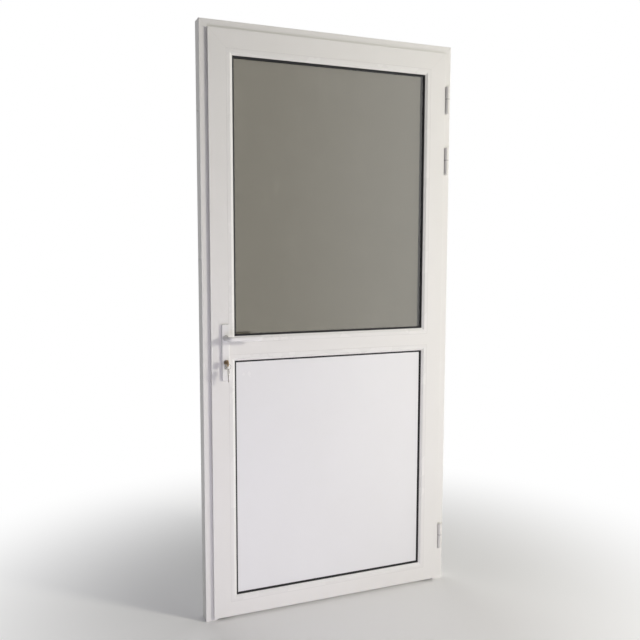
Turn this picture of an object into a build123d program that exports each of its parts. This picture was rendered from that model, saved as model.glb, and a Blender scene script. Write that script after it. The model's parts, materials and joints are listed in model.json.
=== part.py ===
"""White aluminium casement door: a glazed leaf with a lower infill panel, hung in its frame.

Frame of reference, in millimetres: the origin is on the outer face of the hinge-side jamb, at the middle
of its depth and at floor level. +X points out of that face, +Z is up, and -Y is the side with the hinges,
towards which the leaf opens. Sections are drawn as (u, v): u runs inwards from the outer edge of a
rectangle of bars, and v runs back from the front of the profile.
"""
from build123d import *
import math
import os
from collections import namedtuple

# Frame
FRAME_W = 975.0
FRAME_H = 2100.0
FRAME_D = 50.0
JAMB_FACE = 42.0
STOP_REACH = 16.0
STOP_T = 8.0
STOP_SEAL_INSET = 8.0
STOP_SEAL_W = 6.0
WALL = 2.0
WEB_T = 1.5
FRONT_CHAMBER = 6.0
PROFILE_R = 1.2

# Leaf
LEAF_D = 46.0
LEAF_PROUD = 10.0
REVEAL = 27.5
REBATE_GAP = 6.5
OVERLAP_T = 5.0
OVERLAP_SEAL_W = 5.0
SEAL_NOSE_R = 1.6
FLOOR_GAP = 10.0
STILE_FACE = 63.0
MID_RAIL_FACE = 43.0
MID_RAIL_Z = 986.5
BOTTOM_RAIL_FACE = 53.0
FLANGE_T = 3.5
CHANNEL_W = 20.0
CHANNEL_D = 3.0

# Glazing
BEAD_W = 22.0
BEAD_FLAT = 13.0
BEAD_SLOPE = 5.0
BEAD_T = 7.6
BEAD_LEG = 14.0
BEAD_LEG_T = 3.0
BEAD_FIT = 0.15
INFILL_T = 28.0
INFILL_SET = 11.0
SHEET_T = 4.0
EDGE_GAP = 6.0
GASKET_COVER = 7.0
GASKET_LIP = 1.5
GASKET_SHOW = 7.0
BACK_GASKET_SHOW = 3.0
SPACER_W = 6.0
SPACER_INSET = 3.0
FIT = 0.3

# Hinges
BOTTOM_HINGE_UP = 188.0
MIDDLE_HINGE_DOWN = 426.0
TOP_HINGE_DOWN = 197.0
KNUCKLE_R = 9.0
KNUCKLE_GAP = 1.0
LOWER_KNUCKLE = 54.0
UPPER_KNUCKLE = 46.0
WASHER_T = 1.4
PIN_R = 4.0
PIN_FIT = 0.08
PIN_REACH = 38.0
PIN_TOP_GAP = 1.0
WING_T = 2.2
WING_DEPTH = 24.0
WING_MARGIN = 4.0
FOOT_HALF = 5.0
KNUCKLE_CHAMFER = 1.2

# Lock and handles
BACKSET = 29.0
LOCK_V = 25.5
SPINDLE_Z = 1026.0
LOCK_CENTRES = 85.0
SPINDLE_SQ = 8.0
SPINDLE_HOLE_R = 7.0
CASE_H = 180.0
CASE_T = 15.0
CASE_BACK = 59.0
CASE_DROP = 115.0
FACEPLATE_H = 240.0
LATCH_H = 26.0
LATCH_T = 11.0
LATCH_DROP = 26.0
LATCH_NOSE = 1.5
LATCH_BEVEL = 9.0
DEADBOLT_H = 36.0
DEADBOLT_DROP = 83.0
BOLT_LENGTH = 16.0
BOLT_CLEAR = 1.0
STRIKE_R = 2.0
STRIKE_W = 24.0
STRIKE_H = 200.0
PLATE_W = 27.0
PLATE_H = 199.0
PLATE_T = 9.0
PLATE_R = 4.5
PLATE_EDGE_R = 2.5
PLATE_ABOVE_SPINDLE = 48.0
NECK_R = 9.5
NECK_TIP_R = 8.0
LEVER_STANDOFF = 50.0
LEVER_REACH = 118.0
GRIP_H = 19.0
GRIP_T = 12.0
GRIP_BEND_R = 14.0
GRIP_END_R = 2.8
CYLINDER_R = 8.5
CYLINDER_TAIL_W = 10.0
CYLINDER_H = 33.0
CYLINDER_PROUD = 3.0
PLUG_R = 6.5
PLUG_GROOVE_W = 0.5
PLUG_GROOVE_D = 0.6

# Keys
KEY_T = 2.2
BLADE_H = 7.5
BLADE_IN = 24.0
KEY_NECK = 8.0
KEY_SHOULDER = 2.0
KEY_TIP = 3.0
KEY_TIP_FLAT = 2.0
BIT_START = 5.5
BIT_PITCH = 4.0
BIT_FLAT = 1.0
BIT_DEPTHS = (0.8, 1.6, 1.1, 1.8)
BOW_R = 11.5
BOW_HOLE_R = 2.6
BOW_HOLE_OFFSET = 7.3
RING_R = 9.5
RING_WIRE_R = 0.9
SPARE_NECK = 4.0
SPARE_BLADE = 21.0

# Countersunk screws that hold the faceplate, the strike plate, the inner backplate and the hinges
SCREW_R = 2.2
SCREW_SINK = 1.4
PLATE_SCREW_IN = 9.0
WING_SCREW_IN = 10.0
WING_SCREW_BACK = 9.0

# Fixing screws through the jambs
SCREW_HOLE_R = 4.0
SCREWS_UP = (420.0, 820.0)
SCREWS_DOWN = (800.0, 300.0)

# How far a cutting solid runs past what it cuts
CUT_PAST = 1.0
MITRE_PAST = 10.0

# Places that follow from the sizes
Y_FRONT = -FRAME_D / 2
Y_LEAF = Y_FRONT - LEAF_PROUD
Y_LEAF_BACK = Y_LEAF + LEAF_D
X_LOCK = -FRAME_W
LEAF_BODY = JAMB_FACE + REBATE_GAP - REVEAL
LEAF_TOP = FRAME_H - REVEAL
OVERLAP_GAP = LEAF_PROUD - OVERLAP_T
HINGE_SPLITS = (BOTTOM_HINGE_UP, FRAME_H - MIDDLE_HINGE_DOWN, FRAME_H - TOP_HINGE_DOWN)
SCREW_HEIGHTS = SCREWS_UP + tuple(FRAME_H - down for down in SCREWS_DOWN)
PIN_X = -REVEAL + KNUCKLE_GAP + KNUCKLE_R
PIN_Y = Y_FRONT - KNUCKLE_GAP - KNUCKLE_R
X_SPINDLE = X_LOCK + REVEAL + LEAF_BODY + BACKSET
Y_LOCK = Y_LEAF + LOCK_V
CYLINDER_Z = SPINDLE_Z - LOCK_CENTRES
LATCH_Z = SPINDLE_Z - LATCH_DROP
DEADBOLT_Z = SPINDLE_Z - DEADBOLT_DROP
Y_CYLINDER = Y_LEAF - PLATE_T - CYLINDER_PROUD

Rect = namedtuple("Rect", "x0 x1 z0 z1")
FRAME_RECT = Rect(X_LOCK, 0.0, 0.0, FRAME_H)
LEAF_RECT = Rect(X_LOCK + REVEAL, -REVEAL, FLOOR_GAP, LEAF_TOP)
X_STILE_L = LEAF_RECT.x0 + STILE_FACE
X_STILE_R = LEAF_RECT.x1 - STILE_FACE
GLASS_RECT = Rect(X_STILE_L, X_STILE_R, MID_RAIL_Z + MID_RAIL_FACE / 2, LEAF_TOP - STILE_FACE)
PANEL_RECT = Rect(X_STILE_L, X_STILE_R, FLOOR_GAP + BOTTOM_RAIL_FACE, MID_RAIL_Z - MID_RAIL_FACE / 2)


def box(x0, x1, y0, y1, z0, z1):
    """A plain block between two corners."""
    size = (x1 - x0, y1 - y0, z1 - z0)
    return Pos((x0 + x1) / 2, (y0 + y1) / 2, (z0 + z1) / 2) * Box(*size)


def section_point(rect, side, y0, u, v):
    """Where a section's point (u, v) lies at the start of a side of the rectangle."""
    if side == "left":
        return (rect.x0 + u, y0 + v, rect.z0)
    if side == "right":
        return (rect.x1 - u, y0 + v, rect.z0)
    if side == "top":
        return (rect.x0, y0 + v, rect.z1 - u)
    return (rect.x0, y0 + v, rect.z0 + u)


def section_face(points, rounded, holes, rect, side, y0):
    """The section as a face at the start of a side, with the named corners rounded and its chambers open."""
    def wire(outline):
        return Wire.make_polygon([section_point(rect, side, y0, u, v) for u, v in outline], close=True)

    face = Face(wire(points))
    if rounded:
        places = [Vector(*section_point(rect, side, y0, u, v)) for u, v in rounded]
        corners = [c for c in face.vertices() if min((Vector(c) - p).length for p in places) < 0.01]
        face = face.fillet_2d(PROFILE_R, corners)
    if holes:
        face = Face(face.outer_wire(), [wire(outline) for outline in holes])
    return face


def mitre_wedge(rect, side, depth, start, end):
    """The block that a bar may fill once its flagged ends are cut at 45 degrees."""
    out, tall = MITRE_PAST, 2 * (FRAME_D + LEAF_D)
    a, b = (rect.z0, rect.z1) if side in ("left", "right") else (rect.x0, rect.x1)
    flat = [
        (-out, a - out if start else a),
        (-out, b + out if end else b),
        (depth, b - depth if end else b),
        (depth, a + depth if start else a),
    ]
    if side == "left":
        outline = [(rect.x0 + u, w) for u, w in flat]
    elif side == "right":
        outline = [(rect.x1 - u, w) for u, w in flat]
    elif side == "top":
        outline = [(w, rect.z1 - u) for u, w in flat]
    else:
        outline = [(w, rect.z0 + u) for u, w in flat]
    face = Face(Wire.make_polygon([(x, -tall / 2, z) for x, z in outline], close=True))
    return Solid.extrude(face, Vector(0, tall, 0))


def bar(points, rect, side, y0, rounded=(), holes=(), mitres=(True, True)):
    """A profile run along one side of a rectangle, with mitred ends where flagged."""
    face = section_face(points, rounded, holes, rect, side, y0)
    if side in ("left", "right"):
        along = Vector(0, 0, rect.z1 - rect.z0)
    else:
        along = Vector(rect.x1 - rect.x0, 0, 0)
    solid = Solid.extrude(face, along)
    if not any(mitres):
        return solid
    depth = max(u for u, v in points) + CUT_PAST
    return (solid & mitre_wedge(rect, side, depth, *mitres)).solid()


def ring(points, rect, y0):
    """Four mitred bars joined into one closed ring, as a gasket is."""
    sides = [bar(points, rect, side, y0) for side in ("left", "top", "right", "bottom")]
    return (sides[0] + sides[1] + sides[2] + sides[3]).solid()


def rectangle(u0, u1, v0, v1):
    """The corners of a rectangle in a section."""
    return [(u0, v0), (u1, v0), (u1, v1), (u0, v1)]


def frame_member(side, mitres):
    """A jamb or the head: a hollow body with a rear stop lip and two chambers."""
    lip_v = FRAME_D - STOP_T
    lip_u = JAMB_FACE + STOP_REACH
    outline = [(0, 0), (JAMB_FACE, 0), (JAMB_FACE, lip_v), (lip_u, lip_v), (lip_u, FRAME_D), (0, FRAME_D)]
    web_v = WALL + FRONT_CHAMBER
    chambers = [
        rectangle(WALL, JAMB_FACE - WALL, WALL, web_v),
        rectangle(WALL, JAMB_FACE - WALL, web_v + WEB_T, FRAME_D - WALL),
        rectangle(JAMB_FACE, lip_u - WALL, lip_v + WALL, FRAME_D - WALL),
    ]
    rounded = [(0, 0), (JAMB_FACE, 0), (lip_u, lip_v), (lip_u, FRAME_D)]
    return bar(outline, FRAME_RECT, side, Y_FRONT, rounded, chambers, mitres)


def leaf_member(side, mitres):
    """A stile or the top rail: overlap flange, hardware channel, two chambers and the rear glazing flange."""
    channel_v0 = LOCK_V - CHANNEL_W / 2
    channel_v1 = LOCK_V + CHANNEL_W / 2
    floor_u = LEAF_BODY + CHANNEL_D
    outline = [
        (0, 0), (STILE_FACE, 0), (STILE_FACE, LEAF_D - FLANGE_T), (STILE_FACE + BEAD_W, LEAF_D - FLANGE_T),
        (STILE_FACE + BEAD_W, LEAF_D), (LEAF_BODY, LEAF_D), (LEAF_BODY, channel_v1), (floor_u, channel_v1),
        (floor_u, channel_v0), (LEAF_BODY, channel_v0), (LEAF_BODY, OVERLAP_T), (0, OVERLAP_T),
    ]
    web_v = WALL + FRONT_CHAMBER
    inner_u = LEAF_BODY + WALL
    outer_u = STILE_FACE - WALL
    main = [
        (inner_u, web_v + WEB_T), (outer_u, web_v + WEB_T),
        (outer_u, LEAF_D - WALL), (inner_u, LEAF_D - WALL),
        (inner_u, channel_v1 + WALL), (floor_u + WALL, channel_v1 + WALL),
        (floor_u + WALL, channel_v0 - WALL), (inner_u, channel_v0 - WALL),
    ]
    chambers = [rectangle(inner_u, outer_u, WALL, web_v), main]
    rounded = [(0, 0), (0, OVERLAP_T), (LEAF_BODY, LEAF_D), (STILE_FACE + BEAD_W, LEAF_D)]
    return bar(outline, LEAF_RECT, side, Y_LEAF, rounded, chambers, mitres)


def cross_rail(rect, face_w, flange_below):
    """A rail between the stiles, its rear flanges notched round those of the stiles."""
    flange_v = LEAF_D - FLANGE_T
    top = face_w + BEAD_W
    outline = [(0, 0), (face_w, 0), (face_w, flange_v), (top, flange_v), (top, LEAF_D)]
    if flange_below:
        outline += [(-BEAD_W, LEAF_D), (-BEAD_W, flange_v), (0, flange_v)]
    else:
        outline += [(0, LEAF_D)]
    web_v = WALL + FRONT_CHAMBER
    chambers = [
        rectangle(WALL, face_w - WALL, WALL, web_v),
        rectangle(WALL, face_w - WALL, web_v + WEB_T, LEAF_D - WALL),
    ]
    rail = bar(outline, rect, "bottom", Y_LEAF, (), chambers, (False, False))
    y0, y1 = Y_LEAF_BACK - FLANGE_T, Y_LEAF_BACK + CUT_PAST
    z0, z1 = rect.z0 - BEAD_W - CUT_PAST, rect.z1 + BEAD_W + CUT_PAST
    rail -= box(X_STILE_L - CUT_PAST, X_STILE_L + BEAD_W, y0, y1, z0, z1)
    rail -= box(X_STILE_R - BEAD_W, X_STILE_R + CUT_PAST, y0, y1, z0, z1)
    return rail.solid()


def bead(rect, side):
    """A glazing bead: flush face, slope towards the infill, and a leg that clips to the profile."""
    outline = [
        (BEAD_FIT, 0), (BEAD_FLAT, 0), (BEAD_W, BEAD_SLOPE), (BEAD_W, BEAD_T), (BEAD_LEG_T, BEAD_T),
        (BEAD_LEG_T, BEAD_LEG), (BEAD_FIT, BEAD_LEG),
    ]
    return bar(outline, rect, side, Y_LEAF)


def front_gasket(rect):
    """The wedge between the bead and the infill: a small lip, then a slope down to the face."""
    top = BEAD_T + FIT
    bottom = INFILL_SET - FIT
    outline = [
        (BEAD_W - GASKET_COVER, top), (BEAD_W + FIT, top), (BEAD_W + FIT, BEAD_SLOPE + GASKET_LIP),
        (BEAD_W + FIT + GASKET_LIP, BEAD_SLOPE + GASKET_LIP), (BEAD_W + GASKET_SHOW, bottom),
        (BEAD_W - GASKET_COVER, bottom),
    ]
    return ring(outline, rect, Y_LEAF)


def back_gasket(rect):
    """The flat seal between the infill and the rear flange."""
    top = INFILL_SET + INFILL_T + FIT
    bottom = LEAF_D - FLANGE_T - FIT
    outline = [
        (BEAD_W - GASKET_COVER, top), (BEAD_W + BACK_GASKET_SHOW, top), (BEAD_W, bottom),
        (BEAD_W - GASKET_COVER, bottom),
    ]
    return ring(outline, rect, Y_LEAF)


def sheet(rect, v0, v1):
    """A pane or panel that sits in the glazing rebate."""
    return box(rect.x0 + EDGE_GAP, rect.x1 - EDGE_GAP, Y_LEAF + v0, Y_LEAF + v1,
               rect.z0 + EDGE_GAP, rect.z1 - EDGE_GAP)


def spacer():
    """The bar that holds the two glass sheets apart, hidden under the beads."""
    u0 = EDGE_GAP + SPACER_INSET
    section = rectangle(u0, u0 + SPACER_W, INFILL_SET + SHEET_T, INFILL_SET + INFILL_T - SHEET_T)
    return ring(section, GLASS_RECT, Y_LEAF)


def screw_seat(place, inward, depth):
    """What a countersunk screw takes out of a plate: a cone at its face and a hole through it."""
    plane = Plane(origin=place, z_dir=inward)
    hole = plane * Pos(0, 0, depth / 2) * Cylinder(SCREW_R, depth + 2 * CUT_PAST)
    cone = Cone(SCREW_R + SCREW_SINK + CUT_PAST, SCREW_R, SCREW_SINK + CUT_PAST)
    return hole + plane * Pos(0, 0, (SCREW_SINK - CUT_PAST) / 2) * cone


def screw_hole(x0, x1, z):
    """A hole along X through a jamb."""
    length = x1 - x0
    return Pos((x0 + x1) / 2, 0, z) * Rot(0, 90, 0) * Cylinder(SCREW_HOLE_R, length)


def jamb(side):
    """A jamb with its fixing holes, and on the lock side the opening that the strike plate fills."""
    body = frame_member(side, (False, True))
    x_outer, x_inner = (X_LOCK, X_LOCK + JAMB_FACE) if side == "left" else (0.0, -JAMB_FACE)
    x0, x1 = min(x_outer, x_inner) - CUT_PAST, max(x_outer, x_inner) + CUT_PAST
    for z in SCREW_HEIGHTS:
        body -= screw_hole(x0, x1, z)
    if side == "left":
        body -= strike_blank()
    return body.solid()


def bolt_window(x0, x1, z, height):
    """A slot that the latch or the deadbolt passes through."""
    half_t = LATCH_T / 2 + BOLT_CLEAR
    half_h = height / 2 + BOLT_CLEAR
    return box(x0, x1, Y_LOCK - half_t, Y_LOCK + half_t, z - half_h, z + half_h)


def strike_blank():
    """The strike plate's outline, let into the jamb's wall so that it lies flush with its face."""
    x1 = X_LOCK + JAMB_FACE
    z_mid = (LATCH_Z + DEADBOLT_Z) / 2
    plate = box(x1 - WALL, x1, Y_LOCK - STRIKE_W / 2, Y_LOCK + STRIKE_W / 2,
                z_mid - STRIKE_H / 2, z_mid + STRIKE_H / 2)
    return fillet(plate.edges().filter_by(Axis.X), STRIKE_R)


def strike_plate():
    """The plate on the lock-side jamb that takes the latch and the deadbolt."""
    plate = strike_blank()
    x1 = X_LOCK + JAMB_FACE
    for z, height in ((LATCH_Z, LATCH_H), (DEADBOLT_Z, DEADBOLT_H)):
        plate -= bolt_window(x1 - WALL - CUT_PAST, x1 + CUT_PAST, z, height)
    z_mid = (LATCH_Z + DEADBOLT_Z) / 2
    reach = STRIKE_H / 2 - PLATE_SCREW_IN
    for z in (z_mid - reach, z_mid + reach):
        plate -= screw_seat((x1, Y_LOCK, z), (-1, 0, 0), WALL)
    return plate.solid()


def strip(x0, x1, base_y, nose_y, z0, z1, length_axis):
    """One straight seal: square at its base, and rounded along the nose that presses on the other part."""
    body = box(x0, x1, min(base_y, nose_y), max(base_y, nose_y), z0, z1)
    nose = [e for e in body.edges().filter_by(length_axis) if abs(e.center().Y - nose_y) < 0.01]
    return fillet(nose, SEAL_NOSE_R)


def strips(u0, u1, base_y, nose_y, hinge_side_spans):
    """Seal strips on the lock side and the head, and one for each span of the hinge side."""
    foot, shoulder = FLOOR_GAP, FRAME_H - u1 - FIT
    pieces = [
        strip(X_LOCK + u0, X_LOCK + u1, base_y, nose_y, foot, shoulder, Axis.Z),
        strip(X_LOCK + u0, -u0, base_y, nose_y, FRAME_H - u1, FRAME_H - u0, Axis.X),
    ]
    edges = [foot] + [z for span in hinge_side_spans for z in span] + [shoulder]
    pieces += [strip(-u1, -u0, base_y, nose_y, z0, z1, Axis.Z) for z0, z1 in zip(edges[::2], edges[1::2])]
    return pieces


def stop_seals():
    """Seals along the stop lip, which the shut leaf presses on."""
    u0 = JAMB_FACE + STOP_SEAL_INSET
    return strips(u0, u0 + STOP_SEAL_W, FRAME_D / 2 - STOP_T, Y_LEAF_BACK + FIT, [])


def overlap_seals():
    """Seals behind the leaf's overlap flange, left out where the hinge wings pass."""
    u0 = REVEAL + OVERLAP_GAP
    wings = [(split - LOWER_KNUCKLE, split + WASHER_T + UPPER_KNUCKLE) for split in HINGE_SPLITS]
    return strips(u0, u0 + OVERLAP_SEAL_W, Y_LEAF + OVERLAP_T, Y_FRONT - FIT, wings)


def knuckle(z0, z1, sharp_end):
    """One barrel of a hinge, with a small chamfer on its free end."""
    body = Pos(PIN_X, PIN_Y, (z0 + z1) / 2) * Cylinder(KNUCKLE_R, z1 - z0)
    ends = body.edges().filter_by(GeomType.CIRCLE).sort_by(Axis.Z)
    free = ends[-1] if sharp_end == "bottom" else ends[0]
    return chamfer(free, KNUCKLE_CHAMFER)


def wing_screw_y():
    """How deep in the reveal the screws of a hinge's wings lie."""
    return Y_FRONT + WING_DEPTH - WING_SCREW_BACK


def hinge_frame_part(split):
    """The lower knuckle with its pin, foot and folded wing, screwed to the jamb."""
    z0 = split - LOWER_KNUCKLE
    w0, w1 = z0 + WING_MARGIN, split - WING_MARGIN
    body = knuckle(z0, split, "top")
    body += box(PIN_X - FOOT_HALF, PIN_X + FOOT_HALF, PIN_Y, Y_FRONT, w0, w1)
    body += box(-JAMB_FACE - WING_T, PIN_X, Y_FRONT - WING_T, Y_FRONT, w0, w1)
    body += box(-JAMB_FACE - WING_T, -JAMB_FACE, Y_FRONT - WING_T, Y_FRONT + WING_DEPTH, w0, w1)
    pin_top = split + WASHER_T + PIN_REACH
    body += Pos(PIN_X, PIN_Y, (z0 + WING_MARGIN + pin_top) / 2) * Cylinder(PIN_R, pin_top - z0 - WING_MARGIN)
    for z in (w0 + WING_SCREW_IN, w1 - WING_SCREW_IN):
        body -= screw_seat((-JAMB_FACE - WING_T, wing_screw_y(), z), (1, 0, 0), WING_T)
    return body.solid()


def hinge_leaf_part(split):
    """The upper knuckle, which turns on the pin, with its wing folded round the leaf's flange."""
    z0 = split + WASHER_T
    z1 = z0 + UPPER_KNUCKLE
    w0, w1 = z0 + WING_MARGIN, z1 - WING_MARGIN
    y0 = Y_LEAF + OVERLAP_T
    x_side = -REVEAL - LEAF_BODY
    body = knuckle(z0, z1, "bottom")
    body += box(x_side, PIN_X, y0, y0 + WING_T, w0, w1)
    body += box(x_side, x_side + WING_T, y0, Y_FRONT + WING_DEPTH, w0, w1)
    bore = PIN_REACH + PIN_TOP_GAP
    body -= Pos(PIN_X, PIN_Y, z0 + bore / 2) * Cylinder(PIN_R + PIN_FIT, bore)
    for z in (w0 + WING_SCREW_IN, w1 - WING_SCREW_IN):
        body -= screw_seat((x_side + WING_T, wing_screw_y(), z), (-1, 0, 0), WING_T)
    return body.solid()


def hinge_washer(split):
    """The plastic ring that the leaf's knuckle bears on."""
    ring_body = Cylinder(KNUCKLE_R - KNUCKLE_CHAMFER / 2, WASHER_T) - Cylinder(PIN_R + PIN_FIT, WASHER_T)
    return (Pos(PIN_X, PIN_Y, split + WASHER_T / 2) * ring_body).solid()


def cylinder_outline(grow):
    """The round-and-tail outline of the lock cylinder, drawn in XZ about its round part's centre."""
    tail = CYLINDER_TAIL_W / 2 + grow
    drop = CYLINDER_H - CYLINDER_R - CYLINDER_TAIL_W / 2
    outline = Circle(CYLINDER_R + grow) + Pos(0, -drop / 2) * Rectangle(2 * tail, drop)
    outline += Pos(0, -drop) * Circle(tail)
    return outline.face()


def cylinder_bar(y0, y1, grow=0.0):
    """The cylinder's outline run from y0 to y1 at the lock's place."""
    plane = Plane(origin=(X_SPINDLE, y1, CYLINDER_Z), x_dir=(1, 0, 0), z_dir=(0, -1, 0))
    return extrude(plane * cylinder_outline(grow), y1 - y0)


def y_cylinder(radius, x, z, y0, y1):
    """A round bar along Y."""
    return Pos(x, (y0 + y1) / 2, z) * Rot(90, 0, 0) * Cylinder(radius, y1 - y0)


def lock_stile():
    """The stile on the lock side, cut for the lock case, the spindle and the cylinder."""
    body = leaf_member("left", (False, True))
    x_side = LEAF_RECT.x0 + LEAF_BODY
    case_half = CASE_T / 2 + FIT
    z0, z1 = case_span()
    x0, x1 = x_side + CHANNEL_D - CUT_PAST, LEAF_RECT.x0 + CASE_BACK + FIT
    body -= box(x0, x1, Y_LOCK - case_half, Y_LOCK + case_half, z0 - FIT, z1 + FIT)
    body -= y_cylinder(SPINDLE_HOLE_R, X_SPINDLE, SPINDLE_Z, Y_LEAF - CUT_PAST, Y_LEAF_BACK + CUT_PAST)
    body -= cylinder_bar(Y_LEAF - CUT_PAST, Y_LEAF_BACK + CUT_PAST, FIT)
    return body.solid()


def case_span():
    """The lock case's lowest and highest Z."""
    z0 = SPINDLE_Z - CASE_DROP
    return z0, z0 + CASE_H


def bolt_pocket(z, height, grow):
    """The room that a latch or deadbolt takes, drawn back flush with the faceplate."""
    x0 = LEAF_RECT.x0 + LEAF_BODY
    half = LATCH_T / 2 + grow
    return box(x0 - grow, x0 + BOLT_LENGTH + grow, Y_LOCK - half, Y_LOCK + half,
               z - height / 2 - grow, z + height / 2 + grow)


def lock_case():
    """The closed lock body in the stile, open for the spindle, the cylinder and the two bolts."""
    x0 = LEAF_RECT.x0 + LEAF_BODY + CHANNEL_D
    z0, z1 = case_span()
    body = box(x0, LEAF_RECT.x0 + CASE_BACK, Y_LOCK - CASE_T / 2, Y_LOCK + CASE_T / 2, z0, z1)
    body -= y_cylinder(SPINDLE_HOLE_R, X_SPINDLE, SPINDLE_Z, Y_LEAF, Y_LEAF_BACK)
    body -= cylinder_bar(Y_LEAF, Y_LEAF_BACK, FIT)
    body -= bolt_pocket(LATCH_Z, LATCH_H, FIT)
    body -= bolt_pocket(DEADBOLT_Z, DEADBOLT_H, FIT)
    return body.solid()


def lock_faceplate():
    """The strip in the stile's channel that the lock case hangs from."""
    x0 = LEAF_RECT.x0 + LEAF_BODY
    z_mid = sum(case_span()) / 2
    half = CHANNEL_W / 2 - FIT
    z0, z1 = z_mid - FACEPLATE_H / 2, z_mid + FACEPLATE_H / 2
    plate = box(x0, x0 + CHANNEL_D, Y_LOCK - half, Y_LOCK + half, z0, z1)
    plate -= bolt_pocket(LATCH_Z, LATCH_H, FIT)
    plate -= bolt_pocket(DEADBOLT_Z, DEADBOLT_H, FIT)
    for z in (z0 + PLATE_SCREW_IN, z1 - PLATE_SCREW_IN):
        plate -= screw_seat((x0, Y_LOCK, z), (1, 0, 0), CHANNEL_D)
    return plate.solid()


def latch():
    """The latch: bevelled on the side that meets the strike plate as the leaf shuts."""
    x0 = LEAF_RECT.x0 + LEAF_BODY
    y0, y1 = Y_LOCK - LATCH_T / 2, Y_LOCK + LATCH_T / 2
    z0 = LATCH_Z - LATCH_H / 2
    outline = [
        (x0, y0), (x0, y0 + LATCH_NOSE), (x0 + LATCH_BEVEL, y1), (x0 + BOLT_LENGTH, y1), (x0 + BOLT_LENGTH, y0),
    ]
    face = Face(Wire.make_polygon([(x, y, z0) for x, y in outline], close=True))
    return Solid.extrude(face, Vector(0, 0, LATCH_H))


def lock_bolts():
    """The latch and the deadbolt, drawn back into the lock."""
    return [latch(), bolt_pocket(DEADBOLT_Z, DEADBOLT_H, 0).solid()]


def backplate(y_face, sign):
    """A long plate with holes for the lever's neck and the cylinder; sign is -1 outside and +1 inside."""
    z1 = SPINDLE_Z + PLATE_ABOVE_SPINDLE
    z0 = z1 - PLATE_H
    y0, y1 = sorted((y_face, y_face + sign * PLATE_T))
    body = box(X_SPINDLE - PLATE_W / 2, X_SPINDLE + PLATE_W / 2, y0, y1, z0, z1)
    body = fillet(body.edges().filter_by(Axis.Y), PLATE_R)
    rim = body.faces().sort_by(Axis.Y)[0 if sign < 0 else -1].edges()
    body = fillet(rim, PLATE_EDGE_R)
    body -= y_cylinder(NECK_R + FIT, X_SPINDLE, SPINDLE_Z, y0 - CUT_PAST, y1 + CUT_PAST)
    body -= cylinder_bar(y0 - CUT_PAST, y1 + CUT_PAST, FIT)
    if sign > 0:
        for z in (z0 + PLATE_SCREW_IN, z1 - PLATE_SCREW_IN):
            body -= screw_seat((X_SPINDLE, y1, z), (0, -1, 0), PLATE_T)
    return body.solid()


def lever(y_face, sign):
    """A lever: a tapering neck, a bend and a flat oval grip towards the hinges; sign as in backplate."""
    def across(y):
        return Plane(origin=(X_SPINDLE, y, SPINDLE_Z), x_dir=(1, 0, 0), z_dir=(0, sign, 0))

    def along(x):
        return Plane(origin=(x, y_axis, SPINDLE_Z), x_dir=(0, 1, 0), z_dir=(1, 0, 0))

    base_y = y_face + sign * FIT
    y_axis = y_face + sign * LEVER_STANDOFF
    collar_end = y_face + sign * PLATE_T
    neck_end = y_axis - sign * GRIP_BEND_R
    neck_oval = Ellipse(GRIP_T / 2, NECK_TIP_R)
    collar = extrude(across(base_y) * Circle(NECK_R), abs(collar_end - base_y))
    neck = loft([across(collar_end) * Circle(NECK_R), across(neck_end) * neck_oval])
    rise = GRIP_BEND_R * math.sin(math.pi / 4)
    bend_path = ThreePointArc(
        (X_SPINDLE, neck_end, SPINDLE_Z),
        (X_SPINDLE + GRIP_BEND_R - rise, neck_end + sign * rise, SPINDLE_Z),
        (X_SPINDLE + GRIP_BEND_R, y_axis, SPINDLE_Z),
    )
    bend = sweep(across(neck_end) * neck_oval, path=bend_path)
    grip_oval = Ellipse(GRIP_T / 2, GRIP_H / 2)
    grip = loft([along(X_SPINDLE + GRIP_BEND_R) * neck_oval, along(X_SPINDLE + LEVER_REACH) * grip_oval])
    grip = fillet(grip.faces().sort_by(Axis.X)[-1].edges(), GRIP_END_R)
    body = collar + neck + bend + grip
    socket = SPINDLE_SQ / 2 + PIN_FIT
    y0, y1 = sorted((base_y - sign * CUT_PAST, collar_end + sign * FIT))
    body -= box(X_SPINDLE - socket, X_SPINDLE + socket, y0, y1, SPINDLE_Z - socket, SPINDLE_Z + socket)
    return body.solid()


def spindle():
    """The square bar through the lock that both levers turn."""
    half = SPINDLE_SQ / 2
    return box(X_SPINDLE - half, X_SPINDLE + half, Y_LEAF - PLATE_T, Y_LEAF_BACK + PLATE_T,
               SPINDLE_Z - half, SPINDLE_Z + half).solid()


def lock_cylinder():
    """The profile cylinder: at each end a groove round its plug and a keyway."""
    y_inner = Y_LEAF_BACK + PLATE_T + CYLINDER_PROUD
    body = cylinder_bar(Y_CYLINDER, y_inner)
    half_t = KEY_T / 2 + FIT
    half_h = BLADE_H / 2 + FIT
    for y_face, inward in ((Y_CYLINDER, 1), (y_inner, -1)):
        y0, y1 = sorted((y_face - inward * CUT_PAST, y_face + inward * (BLADE_IN + FIT)))
        body -= box(X_SPINDLE - half_t, X_SPINDLE + half_t, y0, y1, CYLINDER_Z - half_h, CYLINDER_Z + half_h)
        y0, y1 = sorted((y_face - inward * CUT_PAST, y_face + inward * PLUG_GROOVE_D))
        groove = y_cylinder(PLUG_R + PLUG_GROOVE_W / 2, X_SPINDLE, CYLINDER_Z, y0, y1)
        body -= groove - y_cylinder(PLUG_R - PLUG_GROOVE_W / 2, X_SPINDLE, CYLINDER_Z, y0, y1)
    return body.solid()


def notch(along, depth):
    """A flat-bottomed cut in the upper edge of a key's blade."""
    top, half = BLADE_H / 2, BIT_FLAT / 2
    wide = half + depth + CUT_PAST
    return Polygon(
        (along - wide, top + CUT_PAST), (along - half, top - depth), (along + half, top - depth),
        (along + wide, top + CUT_PAST), align=None,
    )


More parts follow.
